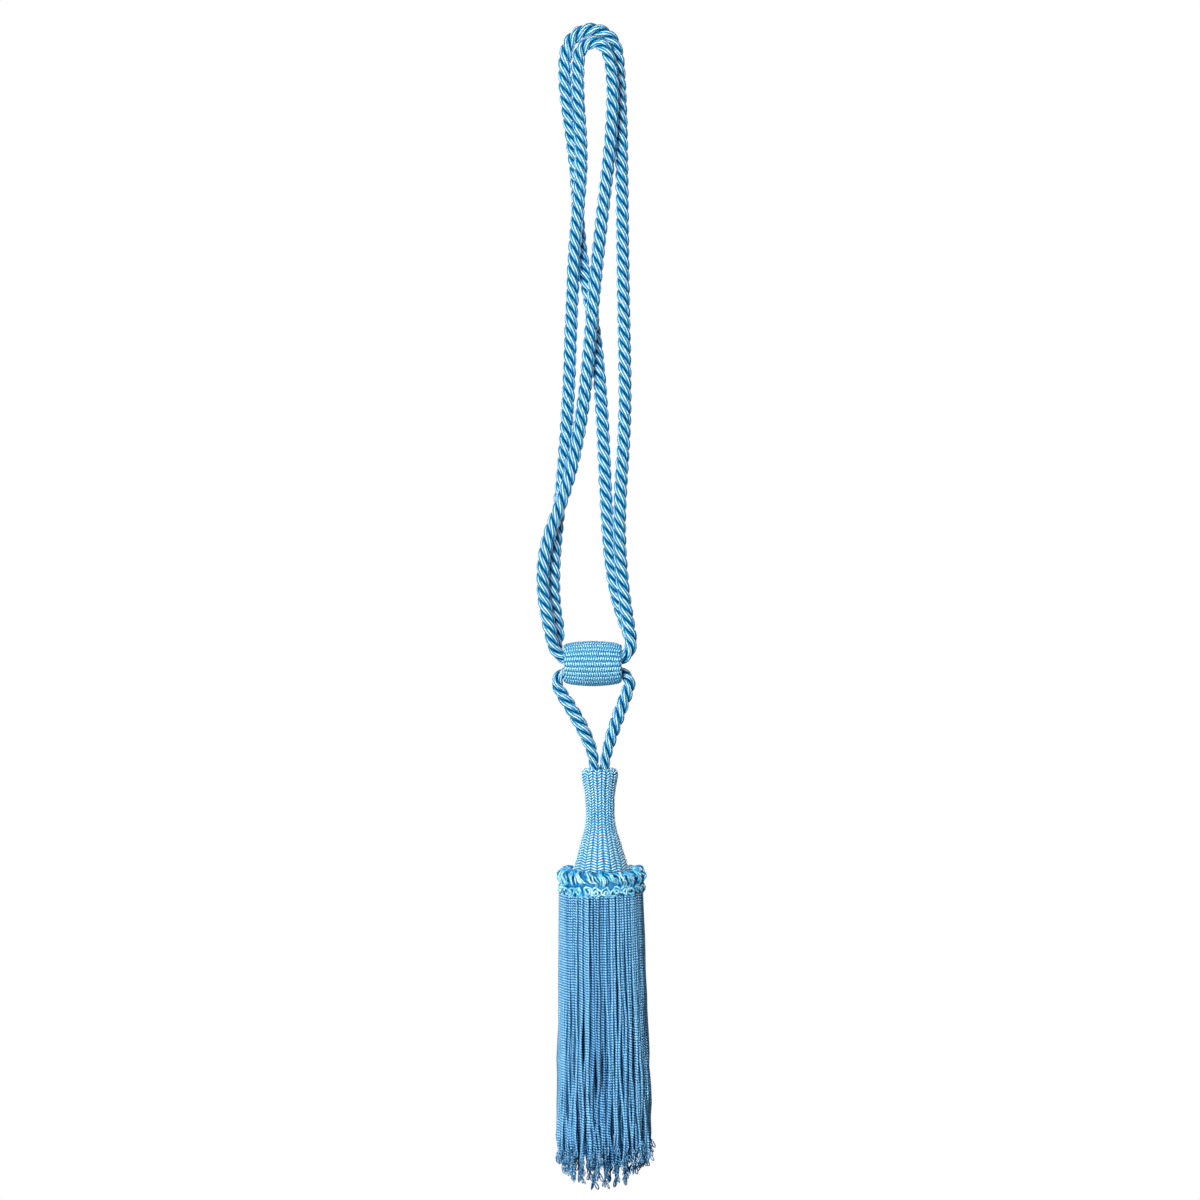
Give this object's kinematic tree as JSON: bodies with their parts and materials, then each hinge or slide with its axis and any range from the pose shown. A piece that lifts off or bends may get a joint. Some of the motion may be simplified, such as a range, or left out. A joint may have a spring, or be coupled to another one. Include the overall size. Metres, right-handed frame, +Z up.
{
  "type": "curtain tieback tassel",
  "caption": "Curtain tieback: a laid rope in two hanging loops, gathered by a corded barrel slider, with a wound head, a looped ruff and a bullion fringe skirt.",
  "frame": {"origin": "underside of the inner loop's crown, where a hook carries the tieback", "axes": "+Z up along the hanging tieback, -Y the front that shows the inner loop's right side crossing in front, +X to the right of the front"},
  "size_m": [0.0698, 0.057, 0.6967],
  "materials": {
    "rope_satin": "three-ply laid rope of satin thread, glossy",
    "wound_thread": "fine twisted cords laid side by side over a mould, satin",
    "looped_thread": "small loops of satin thread in two rows",
    "fringe_cord": "thin twisted bullion cords, soft sheen"
  },
  "bodies": {
    "root": {"rope": "rope_satin", "slider": "wound_thread", "head": "wound_thread", "ruff": "looped_thread", "skirt": "fringe_cord"}
  },
  "joints": []
}
